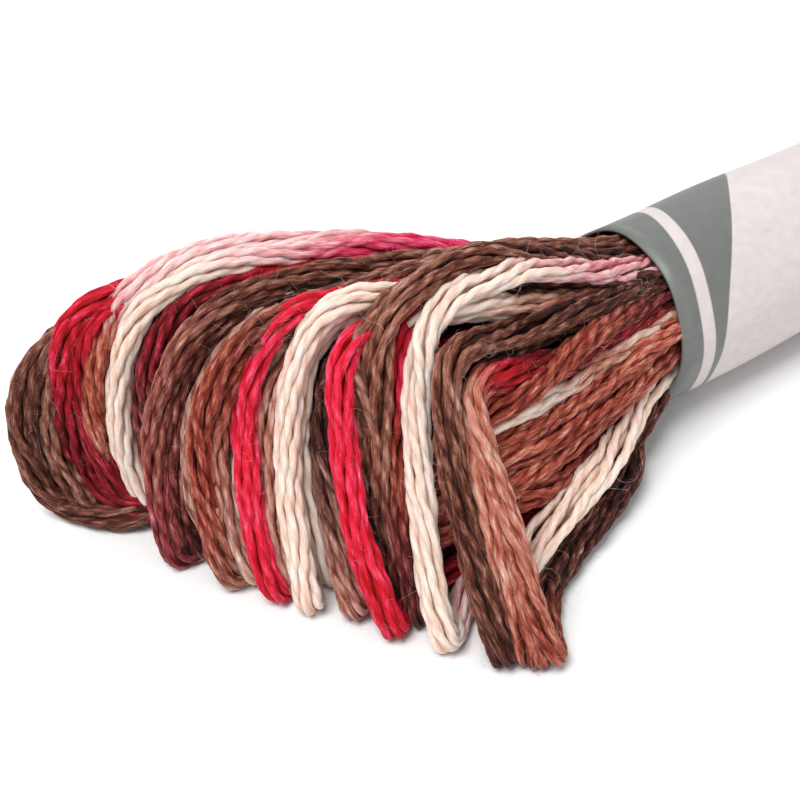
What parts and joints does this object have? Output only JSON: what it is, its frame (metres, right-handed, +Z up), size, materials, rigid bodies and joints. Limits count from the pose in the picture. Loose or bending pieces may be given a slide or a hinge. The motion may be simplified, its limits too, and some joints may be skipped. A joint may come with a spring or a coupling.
{
  "type": "embroidery floss skein",
  "caption": "Skein of variegated embroidery floss gripped by a paper band, its end loops fanned out like a broom where it lies on its side",
  "frame": {"origin": "on the resting plane, under the middle of the paper band", "axes": "+X along the skein from the band towards its plain far end, the fanned loops at -X, +Y to the fan's far side, +Z up"},
  "size_m": [0.1549, 0.021, 0.0106],
  "materials": {
    "floss": "soft twisted cotton, dyed in changing lengths of cream, pink, red, rust and dark brown",
    "paper": "smooth printed paper, grey green with off-white"
  },
  "bodies": {
    "root": {"hank": "floss", "band": "paper"}
  },
  "joints": []
}
